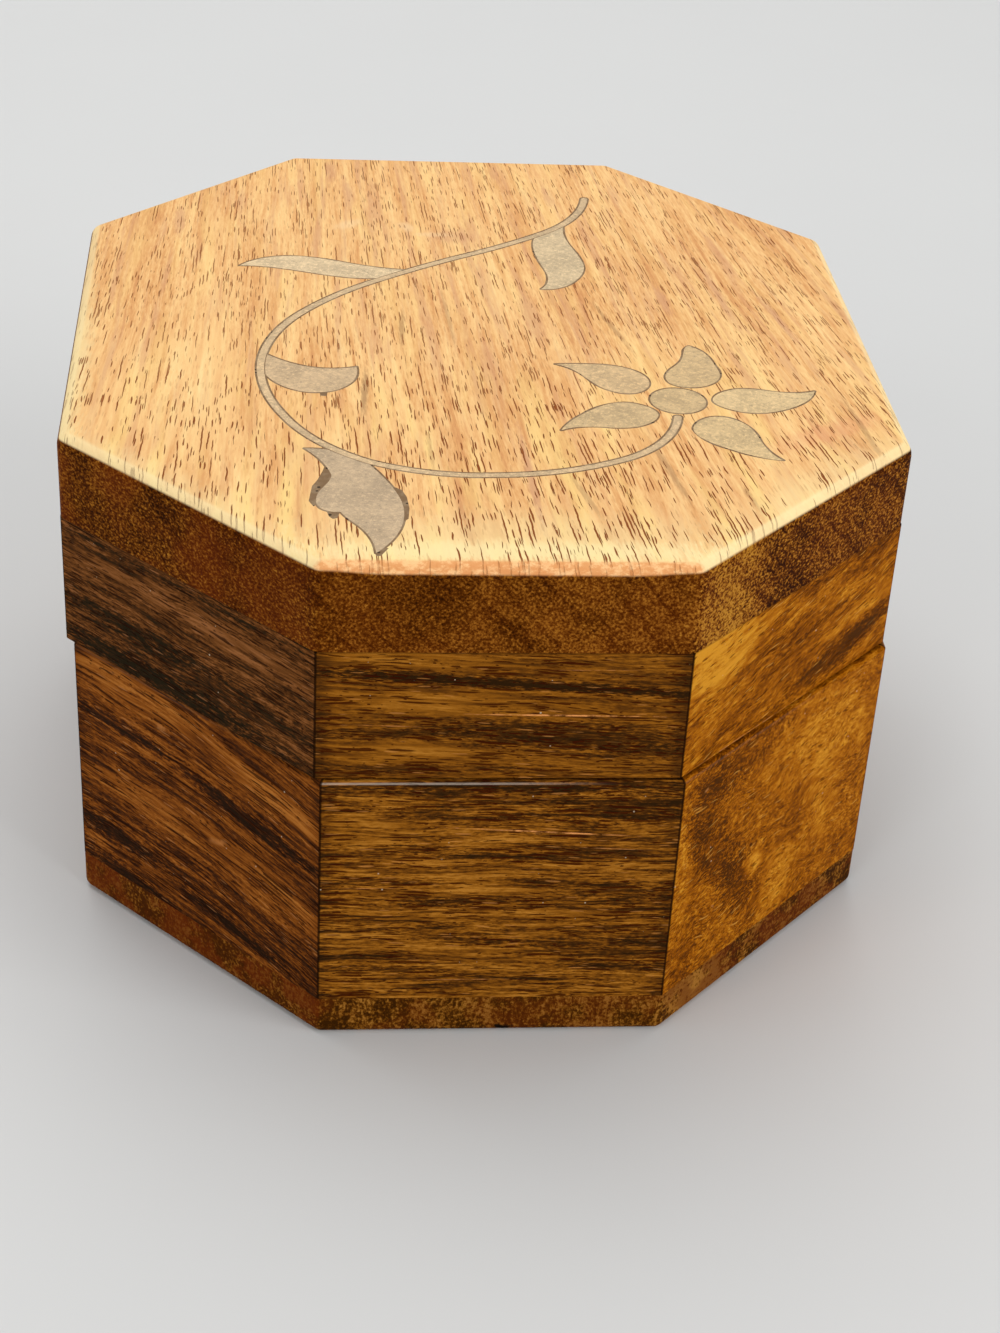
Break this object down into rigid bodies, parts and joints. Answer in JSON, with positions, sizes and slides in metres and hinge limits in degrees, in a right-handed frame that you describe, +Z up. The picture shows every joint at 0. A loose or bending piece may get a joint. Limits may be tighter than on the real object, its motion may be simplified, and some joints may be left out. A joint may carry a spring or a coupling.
{
  "type": "trinket box",
  "caption": "Elongated octagonal hardwood trinket box of mitred staves, with a hinged lid whose thick top board is inlaid with a brass vine and flower.",
  "frame": {"origin": "centre of the underside of the base board", "axes": "+Z up, +Y towards the back where the hinge is, so the front faces -Y, +X to the right seen from the front"},
  "size_m": [0.1009, 0.119, 0.065],
  "materials": {
    "base_board_wood": "oiled rosewood, end grain on the edge",
    "stave_wood": "oiled rosewood with dark streaks",
    "lid_board_wood": "oiled pale rosewood with open pores, end grain on the edge",
    "inlay_brass": "dull tarnished sheet brass, finely scratched",
    "mastic": "dark matt mastic",
    "hinge_brass": "satin brass with light tarnish"
  },
  "bodies": {
    "body": {"base_board": "base_board_wood", "body_stave_front": "stave_wood", "body_stave_front_right": "stave_wood", "body_stave_right": "stave_wood", "body_stave_back_right": "stave_wood", "body_stave_back": "stave_wood", "body_stave_back_left": "stave_wood", "body_stave_left": "stave_wood", "body_stave_front_left": "stave_wood", "hinge_leaf_body": "hinge_brass", "hinge_pin": "hinge_brass", "hinge_screws_body": "hinge_brass"},
    "lid": {"lid_board": "lid_board_wood", "lid_stave_front": "stave_wood", "lid_stave_front_right": "stave_wood", "lid_stave_right": "stave_wood", "lid_stave_back_right": "stave_wood", "lid_stave_back": "stave_wood", "lid_stave_back_left": "stave_wood", "lid_stave_left": "stave_wood", "lid_stave_front_left": "stave_wood", "inlay_stem": "inlay_brass", "inlay_leaf_slender": "inlay_brass", "inlay_leaf_crescent": "inlay_brass", "inlay_leaf_lobed": "inlay_brass", "inlay_leaf_upper": "inlay_brass", "inlay_flower_centre": "inlay_brass", "inlay_petal_upper_left": "inlay_brass", "inlay_petal_top": "inlay_brass", "inlay_petal_right": "inlay_brass", "inlay_petal_lower_right": "inlay_brass", "inlay_petal_lower_left": "inlay_brass", "inlay_filler": "mastic", "hinge_leaf_lid": "hinge_brass", "hinge_screws_lid": "hinge_brass"}
  },
  "joints": [
    {"name": "lid_hinge", "type": "hinge", "parent": "body", "child": "lid", "pos_m": [0, 0.058, 0.037], "axis": [-1, 0, 0], "range_deg": [0, 98]}
  ]
}
